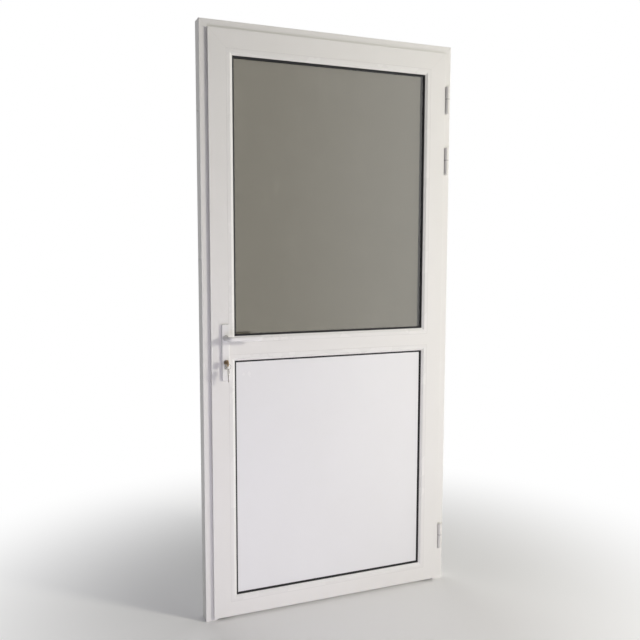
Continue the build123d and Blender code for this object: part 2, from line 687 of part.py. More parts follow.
def key(plane, neck, blade):
    """A key about the middle of its head, with its blade along the plane's X and its notches on +Y."""
    half_h, shoulder = BLADE_H / 2, BOW_R + neck
    end = shoulder + blade
    flat = Circle(BOW_R) + Polygon(
        (0, -half_h), (end - KEY_TIP, -half_h), (end, -KEY_TIP_FLAT / 2), (end, KEY_TIP_FLAT / 2),
        (end - KEY_TIP, half_h), (0, half_h), align=None,
    )
    flat += Pos((shoulder - FIT) / 2, 0) * Rectangle(shoulder - FIT, BLADE_H + 2 * KEY_SHOULDER)
    for number, depth in enumerate(BIT_DEPTHS):
        flat -= notch(shoulder + BIT_START + number * BIT_PITCH, depth)
    flat -= Pos(-BOW_HOLE_OFFSET, 0) * Circle(BOW_HOLE_R)
    return extrude(plane.offset(-KEY_T / 2) * flat, KEY_T).solid()


def key_bow_y():
    """The Y of the middle of the head of the key in the lock."""
    return Y_CYLINDER - KEY_NECK - BOW_R


def key_in_lock():
    """The key in the cylinder; its ring hangs from the hole in its head."""
    place = Plane(origin=(X_SPINDLE, key_bow_y(), CYLINDER_Z), x_dir=(0, 1, 0), z_dir=(1, 0, 0))
    return key(place, KEY_NECK, BLADE_IN)


def hang_y():
    """The Y of the hole that the ring passes through, which is the ring's swing axis."""
    return key_bow_y() - BOW_HOLE_OFFSET


def ring_centre_z():
    """The ring hangs with its wire on the lower edge of the hole."""
    return CYLINDER_Z - (BOW_HOLE_R - RING_WIRE_R - FIT) - RING_R


def key_ring():
    """A plain wire ring in the XZ plane."""
    return (Pos(X_SPINDLE, hang_y(), ring_centre_z()) * Rot(90, 0, 0) * Torus(RING_R, RING_WIRE_R)).solid()


def spare_key():
    """The second key, which hangs on the ring."""
    hole_z = ring_centre_z() - RING_R - (BOW_HOLE_R - RING_WIRE_R - FIT)
    bow_z = hole_z - BOW_HOLE_OFFSET
    place = Plane(origin=(X_SPINDLE, hang_y(), bow_z), x_dir=(0, 0, -1), z_dir=(1, 0, 0))
    return key(place, SPARE_NECK, SPARE_BLADE)


def mid_rail():
    rect = Rect(X_STILE_L, X_STILE_R, PANEL_RECT.z1, GLASS_RECT.z0)
    return cross_rail(rect, MID_RAIL_FACE, True)


def bottom_rail():
    rect = Rect(X_STILE_L, X_STILE_R, FLOOR_GAP, PANEL_RECT.z0)
    return cross_rail(rect, BOTTOM_RAIL_FACE, False)


def all_nodes():
    """Every sub-part by its node's name."""
    glass_back = INFILL_SET + INFILL_T
    nodes = {
        "hinge_jamb": jamb("right"),
        "lock_jamb": jamb("left"),
        "head": frame_member("top", (True, True)),
        "strike_plate": strike_plate(),
        "stop_seals": stop_seals(),
        "lock_stile": lock_stile(),
        "hinge_stile": leaf_member("right", (False, True)),
        "top_rail": leaf_member("top", (True, True)),
        "mid_rail": mid_rail(),
        "bottom_rail": bottom_rail(),
        "overlap_seals": overlap_seals(),
        "outer_glass": sheet(GLASS_RECT, INFILL_SET, INFILL_SET + SHEET_T),
        "inner_glass": sheet(GLASS_RECT, glass_back - SHEET_T, glass_back),
        "glass_spacer": spacer(),
        "infill_panel": sheet(PANEL_RECT, INFILL_SET, glass_back),
        "glass_front_gasket": front_gasket(GLASS_RECT),
        "panel_front_gasket": front_gasket(PANEL_RECT),
        "back_gaskets": [back_gasket(GLASS_RECT), back_gasket(PANEL_RECT)],
        "lock_case": lock_case(),
        "lock_faceplate": lock_faceplate(),
        "lock_bolts": lock_bolts(),
        "outer_backplate": backplate(Y_LEAF, -1),
        "inner_backplate": backplate(Y_LEAF_BACK, 1),
        "outer_lever": lever(Y_LEAF, -1),
        "inner_lever": lever(Y_LEAF_BACK, 1),
        "spindle": spindle(),
        "lock_cylinder": lock_cylinder(),
        "key_in_lock": key_in_lock(),
        "key_ring": key_ring(),
        "spare_key": spare_key(),
        "hinge_washers": [hinge_washer(split) for split in HINGE_SPLITS],
    }
    for place, rect in (("glass", GLASS_RECT), ("panel", PANEL_RECT)):
        for side in ("left", "right", "top", "bottom"):
            nodes[f"{place}_bead_{side}"] = bead(rect, side)
    for name, split in zip(("bottom", "middle", "top"), HINGE_SPLITS):
        nodes[f"{name}_hinge_frame_part"] = hinge_frame_part(split)
        nodes[f"{name}_hinge_leaf_part"] = hinge_leaf_part(split)
    return nodes


def main():
    os.makedirs("parts", exist_ok=True)
    for name, shape in all_nodes().items():
        if isinstance(shape, list):
            shape = Compound(children=[piece.solid() for piece in shape])
        export_step(shape, f"parts/{name}.step")


main()
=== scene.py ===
# %% [markdown]
# # A white aluminium door, dressed over its fixed model
#
# The door is already modelled: every profile, bead, hinge and handle is loaded here as a finished solid at
# its real size. This file gives those solids their surfaces and adds the few small things, such as screw
# heads, that are easier to make as meshes. Everything is in metres. The floor is at z = 0, +Z is up, the
# hinges are on the +X side, and the leaf opens towards -Y.

# %% Load the fixed model
import json
import math

import bmesh
import bpy
import numpy as np
from mathutils import Matrix, Vector


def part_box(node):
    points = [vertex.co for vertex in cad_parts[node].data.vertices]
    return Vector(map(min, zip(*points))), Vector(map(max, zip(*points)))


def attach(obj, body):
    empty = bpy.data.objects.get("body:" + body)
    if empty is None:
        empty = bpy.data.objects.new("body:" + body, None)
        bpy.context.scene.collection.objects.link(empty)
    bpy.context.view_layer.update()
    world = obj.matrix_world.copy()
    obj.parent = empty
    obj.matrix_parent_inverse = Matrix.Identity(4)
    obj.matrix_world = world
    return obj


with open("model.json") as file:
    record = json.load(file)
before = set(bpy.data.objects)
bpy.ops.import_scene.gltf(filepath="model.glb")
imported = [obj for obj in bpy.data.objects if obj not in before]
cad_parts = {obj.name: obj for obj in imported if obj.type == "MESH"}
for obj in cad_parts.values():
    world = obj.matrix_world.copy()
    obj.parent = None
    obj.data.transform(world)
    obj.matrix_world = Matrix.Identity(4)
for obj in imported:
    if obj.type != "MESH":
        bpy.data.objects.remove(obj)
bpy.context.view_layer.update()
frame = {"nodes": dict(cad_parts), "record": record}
slot_of = {part["node"]: part["material_slot"] for part in frame["record"]["subparts"]}

# %% [markdown]
# ## The camera first
#
# The photograph was taken from the left of the door, with the camera a little above the handle and tipped
# slightly down. A camera is easiest to place by a position, the way it looks, and its lens. The way it looks
# is worked out from two angles: how far it is turned towards the hinges, and how far it is tipped down.

# %% Camera
MM = 0.001
DOOR_MIDDLE = Vector((-0.4875, 0.0, 1.05))
EYE = Vector((-1.5615, -2.543, 1.340))
TURN = math.radians(22.15)
TIP = math.radians(-5.56)
ROLL = math.radians(0.12)
FOCAL_LENGTH = 41.83

ahead = Vector((math.sin(TURN) * math.cos(TIP), math.cos(TURN) * math.cos(TIP), math.sin(TIP)))
camera_data = bpy.data.cameras.new("viewpoint")
camera_data.lens = FOCAL_LENGTH
camera = bpy.data.objects.new("viewpoint", camera_data)
bpy.context.scene.collection.objects.link(camera)
turned = ahead.to_track_quat("-Z", "Y").to_matrix().to_4x4()
camera.matrix_world = Matrix.Translation(EYE) @ turned @ Matrix.Rotation(ROLL, 4, "Z")
bpy.context.scene.camera = camera
print("camera", round((EYE - DOOR_MIDDLE).length, 2), "m from the middle of the door")

# %% [markdown]
# ## Writing a finish as sums
#
# A shader is a graph of small nodes. Long graphs are hard to read as a list of nodes and links, so here a
# number in the graph is wrapped in a small class that knows how to add, subtract and multiply. An expression
# such as `1 - mask * 0.3` then adds its own Math nodes. Every other kind of node comes from one method,
# `add`, which takes the node's type, its settings and the values or links of its sockets.


# %% The wrapped number and the finish
class Value:
    """One output of a node. Sums on it add Math nodes to the same finish."""

    def __init__(self, finish, socket):
        self.finish, self.socket = finish, socket

    def sum(self, operation, left, right=0.0):
        return self.finish.add("ShaderNodeMath", {"operation": operation}, {0: left, 1: right})

    def __add__(self, other):
        return self.sum("ADD", self, other)

    def __radd__(self, other):
        return self.sum("ADD", other, self)

    def __sub__(self, other):
        return self.sum("SUBTRACT", self, other)

    def __rsub__(self, other):
        return self.sum("SUBTRACT", other, self)

    def __mul__(self, other):
        return self.sum("MULTIPLY", self, other)

    def __rmul__(self, other):
        return self.sum("MULTIPLY", other, self)

    def __abs__(self):
        return self.sum("ABSOLUTE", self)

    def most(self, other):
        return self.sum("MAXIMUM", self, other)

    def least(self, other):
        return self.sum("MINIMUM", self, other)

    def root(self):
        return self.sum("SQRT", self)


class Finish:
    """A node graph that is being written."""

    def __init__(self, graph):
        self.graph = graph

    def add(self, kind, settings=None, sockets=None, output=0):
        """Adds a node: its settings first, then its sockets by name or number. Returns one output."""
        node = self.graph.nodes.new(kind)
        for name, value in (settings or {}).items():
            setattr(node, name, value)
        for key, value in (sockets or {}).items():
            if isinstance(value, Value):
                self.graph.links.new(value.socket, node.inputs[key])
            else:
                node.inputs[key].default_value = value
        return Value(self, node.outputs[output]) if len(node.outputs) else None

    def place(self):
        """The point on the object, in metres."""
        return self.add("ShaderNodeTexCoord", output=3)

    def split(self, vector):
        """The x, y and z of a point."""
        first = self.add("ShaderNodeSeparateXYZ", sockets={0: vector})
        return [Value(self, socket) for socket in first.socket.node.outputs]

    def stretch(self, vector, scale):
        """The point with each axis scaled. A small scale draws a pattern out along that axis."""
        return self.add("ShaderNodeMapping", sockets={0: vector, 3: scale})

    def noise(self, vector, size, detail=2.0):
        """A cloudy pattern between 0 and 1 whose patches are about `size` metres across."""
        return self.add("ShaderNodeTexNoise", sockets={"Vector": vector, "Scale": 1 / size, "Detail": detail})

    def fade(self, value, start, end, low=0.0, high=1.0):
        """Goes smoothly from `low` to `high` as the value goes from `start` to `end`."""
        settings = {"interpolation_type": "SMOOTHSTEP"}
        return self.add("ShaderNodeMapRange", settings, {0: value, 1: start, 2: end, 3: low, 4: high})

    def mix(self, factor, first, second):
        """A colour between two colours."""
        return self.add("ShaderNodeMix", {"data_type": "RGBA"}, {0: factor, 6: first, 7: second}, output=2)

    def bump(self, height, depth, strength=1.0):
        """A surface direction that makes `height`, from 0 to 1, look `depth` metres deep."""
        return self.add("ShaderNodeBump", sockets={"Height": height, "Distance": depth, "Strength": strength})


def grey(level, warm=0.0):
    """A near-white colour; a positive `warm` takes some blue away."""
    return (level, level * (1 - 0.25 * warm), level * (1 - warm), 1.0)


def new_finish(name, sockets, plain=None, shadow_tint=None):
    """A material with one Principled shader. `sockets` may hold values; `plain` holds fixed numbers.
    With a `shadow_tint`, light on its way from a lamp passes through in that colour."""
    material = bpy.data.materials.new(name)
    material.use_nodes = True
    graph = material.node_tree
    graph.nodes.clear()
    finish = Finish(graph)
    shader = finish.add("ShaderNodeBsdfPrincipled", sockets={**(plain or {}), **sockets(finish)})
    if shadow_tint:
        passing = finish.add("ShaderNodeBsdfTransparent", sockets={"Color": shadow_tint})
        rays = finish.add("ShaderNodeLightPath").socket.node.outputs
        casts = Value(finish, rays["Is Shadow Ray"])
        shader = finish.add("ShaderNodeMixShader", sockets={0: casts, 1: shader, 2: passing})
    finish.add("ShaderNodeOutputMaterial", sockets={"Surface": shader})
    return material


print("finish writer ready")

# %% [markdown]
# ## Where two pieces meet
#
# On the real door a thin joint line shows where a glazing bead is clipped into its profile, and a finer one
# at each mitred corner. The pieces are separate solids, but the gap is narrower than a pixel, so the shade in
# the gap is painted into the finish as a darker line. The distance from a point to a rectangle's
# outline, measured in the door's own plane, is the larger of its distances past the half width and past
# the half height.

# %% Joint lines


def outer_edge(first, last):
    """The rectangle, as centre and half sizes in x and z, that the pieces from first to last fill."""
    low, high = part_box(first)[0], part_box(last)[1]
    return (low.x + high.x) / 2, (low.z + high.z) / 2, (high.x - low.x) / 2, (high.z - low.z) / 2


def bead_rectangle(infill):
    """The outline along which one infill's beads meet the profiles."""
    low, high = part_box(f"{infill}_bead_left")[0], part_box(f"{infill}_bead_right")[1]
    foot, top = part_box(f"{infill}_bead_bottom")[0].z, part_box(f"{infill}_bead_top")[1].z
    return (low.x + high.x) / 2, (foot + top) / 2, (high.x - low.x) / 2, (top - foot) / 2


LINE_CORE = 0.2
BEAD_LINES = [bead_rectangle("glass"), bead_rectangle("panel")]
PROFILE_LINES = [outer_edge("lock_jamb", "hinge_jamb"), outer_edge("lock_stile", "hinge_stile")]


def distance_to(x, z, rectangle):
    """How far a point lies from a rectangle's outline, in the plane of the door."""
    middle_x, middle_z, half_x, half_z = rectangle
    return abs((abs(x - middle_x) - half_x).most(abs(z - middle_z) - half_z))


def mitre_distance(x, z, rectangle):
    """How far a point lies from the diagonals that run in from a rectangle's corners."""
    middle_x, middle_z, half_x, half_z = rectangle
    return abs((abs(x - middle_x) - half_x) - (abs(z - middle_z) - half_z)) * math.sqrt(0.5)


def joint_shade_mask(finish, x, z, width):
    """1 on a bead's joint line, fading to 0 at `width` from it: where the gap's shade is painted."""
    nearest = distance_to(x, z, BEAD_LINES[0]).least(distance_to(x, z, BEAD_LINES[1]))
    return finish.fade(nearest, LINE_CORE * width, width, 1.0, 0.0)


def mitre_shade_mask(finish, x, z, rectangles, width, above):
    """1 on the mitres of the rectangles' corners higher than `above`, fading to 0 at `width`: painted gap
    shade.
    """
    first, second = (mitre_distance(x, z, rectangle) for rectangle in rectangles)
    line = finish.fade(first.least(second), LINE_CORE * width, width, 1.0, 0.0)
    return line * finish.fade(z, above, above + MM)


print("bead joints at half sizes", [tuple(round(v, 3) for v in line[2:]) for line in BEAD_LINES])

# %% [markdown]
# ## White powder coat
#
# Powder is baked onto the aluminium and flows almost flat. What is left is a very fine ripple called orange
# peel, under a millimetre across and a few hundredths deep, which softens reflections. The white is never
# quite even: it varies by a percent or two over a hand's width, and dulls where it is touched or wiped. A
# flat white would look like paper, so the tone, the gloss and the ripple each get a pattern of their own.

# %% Powder coat
CLOUD_SIZE = 220 * MM
SPECK_SIZE = 4 * MM
SMEAR_SIZE = 22 * MM
WAVE_SIZE = 160 * MM
PEEL_SIZE = 0.9 * MM
PEEL_DEPTH = 0.012 * MM
JOINT_SHADE_WIDTH = 1.1 * MM
MITRE_SHADE_WIDTH = 0.5 * MM
# How far the painted gap shade darkens the coat on the joint and mitre lines.
JOINT_SHADE_STRENGTH = 0.22
SQUARE_CUT_BELOW = 1.0
TOUCH_SPOT = Vector((-0.88, -0.04, 1.0))
TOUCH_NEAR, TOUCH_REACH = 40 * MM, 280 * MM


def coat(name, level, warm, roughness, coat_weight, mitres=None, above=-1.0, wave=0.0):
    """White powder coat or a white skin. `mitres` are the rectangles whose corners are mitred; with them,
    the shade in the bead joints and in those mitres is painted as darker lines.
    `wave` is the depth of a slow unevenness, as on a thin sheet."""

    def sockets(f):
        place = f.place()
        x, y, z = f.split(place)
        cloud = f.noise(place, CLOUD_SIZE, 3.0)
        speck = f.noise(place, SPECK_SIZE, 4.0)
        tone = f.mix(cloud, grey(level * 0.975, warm + 0.012), grey(level * 1.015, warm))
        dusty = f.mix(f.fade(speck, 0.66, 0.80, 0.0, 0.10), tone, grey(level * 0.80, warm + 0.05))
        off_x, off_z = x - TOUCH_SPOT.x, z - TOUCH_SPOT.z
        handled = f.fade((off_x * off_x + off_z * off_z).root(), TOUCH_NEAR, TOUCH_REACH, 1.0, 0.0)
        smear = handled * f.fade(f.noise(place, SMEAR_SIZE, 4.0), 0.45, 0.70)
        colour = f.mix(smear * 0.10, dusty, grey(level * 0.86, warm + 0.06))
        gloss = roughness + (cloud - 0.5) * 0.06 + smear * 0.12
        peel = f.noise(place, PEEL_SIZE, 1.5)
        height = peel
        if wave:
            height = peel + f.noise(place, WAVE_SIZE, 1.0) * (wave / PEEL_DEPTH)
        # Painted shade: a darker line on the bead joints and mitres stands in for the shade in gaps under a
        # pixel wide.
        if mitres:
            line = joint_shade_mask(f, x, z, JOINT_SHADE_WIDTH).most(mitre_shade_mask(f, x, z, mitres, MITRE_SHADE_WIDTH, above))
            colour = f.mix(line * JOINT_SHADE_STRENGTH, colour, grey(level * 0.45, warm + 0.06))
            gloss = gloss + line * 0.3
        return {"Base Color": colour, "Roughness": gloss, "Normal": f.bump(height, PEEL_DEPTH)}

    return new_finish(name, sockets, {"Coat Weight": coat_weight, "Coat Roughness": 0.08, "IOR": 1.5})


white_coat = coat("white powder coat", 0.79, 0.035, 0.30, 0.30, PROFILE_LINES, SQUARE_CUT_BELOW)
white_bead = coat("white bead", 0.80, 0.030, 0.27, 0.35, BEAD_LINES)
white_panel = coat("white panel skin", 0.80, -0.015, 0.22, 0.45, wave=0.30 * MM)
white_hinge = coat("white hinge coat", 0.78, 0.050, 0.34, 0.25)
print("powder coats made")

# %% [markdown]
# ## Enamelled handles
#
# The handles are cast and enamelled, so they are smoother and a little brighter than the profiles. Where
# fingers close round the grip the gloss is worn, and thin grey rub marks follow the edges.

# %% Handle enamel
RUB_SIZE = 9 * MM
FLOW_SIZE, FLOW_DEPTH = 1.6 * MM, 0.008 * MM


def enamel_sockets(f):
    place = f.place()
    rub = f.fade(f.noise(place, RUB_SIZE, 5.0), 0.56, 0.74)
    fine = f.noise(place, FLOW_SIZE, 2.0)
    colour = f.mix(rub * 0.16, grey(0.82, 0.025), grey(0.62, 0.06))
    return {"Base Color": colour, "Roughness": 0.20 + rub * 0.18, "Normal": f.bump(fine, FLOW_DEPTH)}


white_hardware = new_finish("handle enamel", enamel_sockets, {"Coat Weight": 0.5, "Coat Roughness": 0.05})
print("handle enamel made")

# %% [markdown]
# ## Glass
#
# The pane is two sheets with a gap between them. Each sheet takes out some light, and its two faces mirror a
# little of what stands before them, which is what lets the eye read that a pane is there. Float glass is
# perfectly smooth, so its roughness is zero: light bends through it without a blur. A faint film, drawn out
# downwards where rain and cloths have run, lightens the tint in patches. A shader that bends light also
# throws a solid shadow, which no pane does, so light on its way from a lamp meets a clear tint instead.

# %% Glass
FILM_SIZE = 110 * MM
STREAK_SIZE = 14 * MM
STREAK_STRETCH = (1.0, 1.0, 0.12)
GLASS_TINT = (0.455, 0.440, 0.400, 1.0)
DUSTY_TINT = (0.505, 0.490, 0.450, 1.0)


def glass_sockets(f):
    place = f.place()
    film = f.fade(f.noise(place, FILM_SIZE, 4.0), 0.40, 0.75)
    streak = f.noise(f.stretch(place, STREAK_STRETCH), STREAK_SIZE, 3.0)
    veil = film * f.fade(streak, 0.45, 0.80)
    return {"Base Color": f.mix(veil, GLASS_TINT, DUSTY_TINT)}


GLASS_SHADOW = (0.93, 0.92, 0.90, 1.0)
glass_numbers = {"Transmission Weight": 1.0, "IOR": 1.62, "Roughness": 0.0}
glazing = new_finish("window glass", glass_sockets, glass_numbers, GLASS_SHADOW)
print("glass made")

# %% [markdown]
# ## Rubber, nylon and metals
#
# Rubber seals are extruded, so they are matt with fine lines along their length and a grey bloom on top.
# Plated steel has short scratches, nickel is nearly mirror bright, and a carried key is brown with wear.

# %% Rubber and nylon
BLACK_RUBBER, BLOOMED_RUBBER = (0.012, 0.012, 0.013, 1.0), (0.040, 0.039, 0.038, 1.0)
DARK_NYLON, PALE_NYLON = (0.050, 0.050, 0.052, 1.0), (0.085, 0.085, 0.088, 1.0)
BLOOM_SIZE = 30 * MM
RUBBER_GRAIN, RUBBER_DEPTH = 0.7 * MM, 0.03 * MM
NYLON_GRAIN = 1.2 * MM


def rubber_sockets(f):
    place = f.place()
    bloom = f.fade(f.noise(place, BLOOM_SIZE, 4.0), 0.45, 0.75)
    grain = f.noise(place, RUBBER_GRAIN, 2.0)
    colour = f.mix(bloom * 0.5, BLACK_RUBBER, BLOOMED_RUBBER)
    return {"Base Color": colour, "Roughness": 0.48 + bloom * 0.22, "Normal": f.bump(grain, RUBBER_DEPTH)}


def nylon_sockets(f):
    grain = f.noise(f.place(), NYLON_GRAIN, 2.0)
    colour = f.mix(grain, DARK_NYLON, PALE_NYLON)
    return {"Base Color": colour, "Roughness": 0.42 + grain * 0.14}


black_gasket = new_finish("black seal rubber", rubber_sockets)
hinge_washer = new_finish("dark nylon", nylon_sockets)

# %% Metals
PATCH_SIZE = 7 * MM
SCRATCH_DEPTH = 0.006 * MM


def metal(name, colour, dark, roughness, stretch, scratch_size, wear):
    """A bare metal: scratches stretched along one axis, and worn patches of a second colour."""

    def sockets(f):
        place = f.place()
        scratch = f.noise(f.stretch(place, stretch), scratch_size, 3.0)
        patch = f.fade(f.noise(place, PATCH_SIZE, 4.0), 0.48, 0.72)
        shade = f.mix(patch * wear, (*colour, 1.0), (*dark, 1.0))
        gloss = roughness + (scratch - 0.5) * 0.16 + patch * 0.08
        return {"Base Color": shade, "Roughness": gloss, "Normal": f.bump(scratch, SCRATCH_DEPTH)}

    return new_finish(name, sockets, {"Metallic": 1.0})


UPRIGHT, INWARD, WORN_INWARD, ACROSS = (1.0, 1.0, 0.05), (1.0, 0.1, 1.0), (1.0, 0.3, 1.0), (0.05, 1.0, 1.0)
STEEL, DULL_STEEL = (0.62, 0.61, 0.60), (0.42, 0.40, 0.38)
NICKEL, DULL_NICKEL = (0.70, 0.68, 0.64), (0.46, 0.42, 0.36)
BRASS, DULL_BRASS = (0.50, 0.33, 0.16), (0.23, 0.14, 0.07)
MILLED, DULL_MILLED = (0.74, 0.74, 0.75), (0.60, 0.60, 0.61)
lock_steel = metal("plated steel", STEEL, DULL_STEEL, 0.34, UPRIGHT, 0.5 * MM, 0.5)
cylinder_nickel = metal("nickel plate", NICKEL, DULL_NICKEL, 0.22, INWARD, 0.6 * MM, 0.4)
key_brass = metal("worn brass", BRASS, DULL_BRASS, 0.36, WORN_INWARD, 0.5 * MM, 0.7)
spacer_metal = metal("mill aluminium", MILLED, DULL_MILLED, 0.38, ACROSS, 0.5 * MM, 0.3)

FINISHES = {
    "white_coat": white_coat,
    "white_bead": white_bead,
    "white_panel": white_panel,
    "white_hinge": white_hinge,
    "white_hardware": white_hardware,
    "glazing": glazing,
    "black_gasket": black_gasket,
    "hinge_washer": hinge_washer,
    "lock_steel": lock_steel,
    "cylinder_nickel": cylinder_nickel,
    "key_brass": key_brass,
    "spacer_metal": spacer_metal,
}
for node, piece in frame["nodes"].items():
    piece.data.materials.clear()
    piece.data.materials.append(FINISHES[slot_of[node]])
print("finishes given to", len(frame["nodes"]), "solids")

# %% [markdown]
# ## Making a turned surface
#
# Screw heads, rings and caps are all turned shapes: a short profile carried round an axis. The profile is a
# list of (radius, height) pairs, and the surface is worked out for all angles at once. For a cross-head
# screw the height also depends on the angle, which makes the recess real geometry and not just a picture.

# %% Turned surfaces
TURN_STEPS = 48
MERGE_WITHIN = 0.001 * MM
AXES = {
    "-X": (Vector((0, 1, 0)), Vector((0, 0, 1)), Vector((-1, 0, 0))),
    "+X": (Vector((0, 1, 0)), Vector((0, 0, 1)), Vector((1, 0, 0))),
    "-Y": (Vector((1, 0, 0)), Vector((0, 0, 1)), Vector((0, -1, 0))),
    "+Y": (Vector((1, 0, 0)), Vector((0, 0, 1)), Vector((0, 1, 0))),
    "+Z": (Vector((1, 0, 0)), Vector((0, 1, 0)), Vector((0, 0, 1))),
    "-Z": (Vector((1, 0, 0)), Vector((0, 1, 0)), Vector((0, 0, -1))),
}


def turned_points(profile, centre, direction, sink=None):
    """Point (i, j) = centre + r_i (cos t_j across + sin t_j up) + (h_i - sink(r_i, t_j)) out."""
    across, up, out = (np.array(v) for v in AXES[direction])
    radius, height = np.array(profile, float).T[:, :, None]
    angle = np.linspace(0, 2 * np.pi, TURN_STEPS, endpoint=False)[None, :]
    if sink is not None:
        height = height - sink(radius, angle)
    height = height + 0 * angle
    flat = radius[..., None] * (np.cos(angle)[..., None] * across + np.sin(angle)[..., None] * up)
    return np.array(centre) + flat + height[..., None] * out


def grid_faces(rows, columns, start):
    """The four corners of every cell of a grid that closes round its columns."""
    i, j = np.meshgrid(np.arange(rows - 1), np.arange(columns), indexing="ij")
    k = (j + 1) % columns
    cells = np.stack([i * columns + j, i * columns + k, (i + 1) * columns + k, (i + 1) * columns + j], -1)
    return cells.reshape(-1, 4) + start


def turned_piece(name, grids, body, slot):
    """One mesh from several turned grids, closed at its poles, facing outwards and riding on a body."""
    points = np.concatenate([grid.reshape(-1, 3) for grid in grids])
    starts = np.cumsum([0] + [grid.shape[0] * grid.shape[1] for grid in grids[:-1]])
    faces = np.concatenate([grid_faces(g.shape[0], g.shape[1], s) for g, s in zip(grids, starts)])
    mesh = bpy.data.meshes.new(name)
    mesh.from_pydata(points.tolist(), [], faces.tolist())
    work = bmesh.new()
    work.from_mesh(mesh)
    bmesh.ops.remove_doubles(work, verts=work.verts, dist=MERGE_WITHIN)
    bmesh.ops.recalc_face_normals(work, faces=work.faces)
    work.to_mesh(mesh)
    work.free()
    mesh.shade_smooth()
    mesh.materials.append(FINISHES[slot])
    piece = bpy.data.objects.new(name, mesh)
    bpy.context.scene.collection.objects.link(piece)
    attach(piece, body)
    print(name, "has", len(mesh.polygons), "faces")


# %% [markdown]
# ## Screw heads
#
# The lock's faceplate, the strike plate, the hinges' wings and the inner backplate are all held by
# cross-head screws. Each head is a low dome with a plus-shaped recess, and it is sunk a little into what it
# holds, so that no gap shows under its rim.

# %% Screws
HEAD_R = 3.3 * MM
HEAD_RISE = 0.9 * MM
HEAD_SUNK = 0.5 * MM
RECESS_DEPTH = 0.75 * MM
RECESS_REACH, RECESS_END = 0.62, 0.12
RECESS_HALF_WIDTH = 0.13
DOME_STEPS = 14


def head_profile():
    """The dome is a quarter ellipse in radius, after a short straight rim."""
    angle = np.linspace(0, np.pi / 2, DOME_STEPS)
    dome = [(HEAD_R * math.sin(a), HEAD_RISE * math.cos(a)) for a in angle]
    return dome + [(HEAD_R, -HEAD_SUNK), (0.0, -HEAD_SUNK)]


def cross_recess(radius, angle):
    """Deep where a point is near either arm of the plus, and 0 past the arms' reach or under the rim."""
    x, y = radius * np.cos(angle) / HEAD_R, radius * np.sin(angle) / HEAD_R
    arm = np.clip((RECESS_HALF_WIDTH * 1.6 - np.minimum(abs(x), abs(y))) / (RECESS_HALF_WIDTH * 0.6), 0, 1)
    inside = np.clip((RECESS_REACH - np.hypot(x, y)) / RECESS_END, 0, 1)
    top = np.arange(radius.shape[0])[:, None] < radius.shape[0] - 2
    return RECESS_DEPTH * arm * inside * top


def screws(name, places, direction, body, slot):
    """One mesh of all the screws that hold a piece."""
    grids = [turned_points(head_profile(), place, direction, cross_recess) for place in places]
    turned_piece(name, grids, body, slot)


def ends_along_z(node, x, y, inset):
    """A place near each end of a tall node."""
    low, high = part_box(node)
    return [(x, y, low.z + inset), (x, y, high.z - inset)]


strike_low, strike_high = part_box("strike_plate")
face_low, face_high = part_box("lock_faceplate")
inner_low, inner_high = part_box("inner_backplate")
strike_y = (strike_low.y + strike_high.y) / 2
face_y = (face_low.y + face_high.y) / 2
inner_x = (inner_low.x + inner_high.x) / 2
PLATE_SCREW_INSET = 9 * MM
screws("strike_screws", ends_along_z("strike_plate", strike_high.x, strike_y, PLATE_SCREW_INSET), "+X",
       "frame", "lock_steel")
screws("faceplate_screws", ends_along_z("lock_faceplate", face_low.x, face_y, PLATE_SCREW_INSET), "-X",
       "leaf", "lock_steel")
screws("inner_plate_screws", ends_along_z("inner_backplate", inner_x, inner_high.y, PLATE_SCREW_INSET), "+Y",
       "leaf", "white_hardware")

# %% Hinge screws
HINGES = ("bottom", "middle", "top")
WING_SCREW_FROM_BACK = 9 * MM
WING_SCREW_INSET = 14 * MM
WING_T = 2.2 * MM
WASHER_T = 1.4 * MM
frame_places, leaf_places = [], []
for hinge in HINGES:
    low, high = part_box(f"{hinge}_hinge_frame_part")
    knuckle_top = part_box(f"{hinge}_hinge_leaf_part")[0].z
    for z in (low.z + WING_SCREW_INSET, knuckle_top - WASHER_T - WING_SCREW_INSET):
        frame_places.append((low.x, high.y - WING_SCREW_FROM_BACK, z))
    low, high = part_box(f"{hinge}_hinge_leaf_part")
    wing_face = low.x + WING_T
    for z in (low.z + WING_SCREW_INSET, high.z - WING_SCREW_INSET):
        leaf_places.append((wing_face, high.y - WING_SCREW_FROM_BACK, z))
screws("hinge_frame_screws", frame_places, "-X", "frame", "lock_steel")
screws("hinge_leaf_screws", leaf_places, "+X", "leaf", "lock_steel")

# %% [markdown]
# ## Rings and caps
#
# A plastic ring fills the gap between each lever's neck and its backplate. The pin's hole in each hinge is
# closed by a shallow domed cap, above and below. Both are turned from a short rounded profile.

# %% Lever rings and hinge caps
NECK_R = 9.5 * MM
RING_WIDTH = 2.1 * MM
RING_RISE = 1.1 * MM
RING_CLEAR = 0.3 * MM
RING_FOOT = CAP_FOOT = -0.2 * MM
RING_STEPS, CAP_STEPS = 12, 10
CAP_R = 6.6 * MM
CAP_RISE = 1.3 * MM


def ring_profile():
    """A half-round bead between the neck and the plate, closed under the plate's face."""
    angle = np.linspace(np.pi, 0, RING_STEPS)
    middle = NECK_R + RING_CLEAR + RING_WIDTH / 2
    bead = [(middle + RING_WIDTH / 2 * math.cos(a), RING_RISE * math.sin(a)) for a in angle]
    return bead + [(bead[-1][0], RING_FOOT), (bead[0][0], RING_FOOT), bead[0]]


def cap_profile():
    """A shallow dome that meets the knuckle's end at a rounded rim."""
    angle = np.linspace(0, np.pi / 2, CAP_STEPS)
    dome = [(CAP_R * math.sin(a), CAP_RISE * math.cos(a)) for a in angle]
    return dome + [(CAP_R, CAP_FOOT), (0.0, CAP_FOOT)]


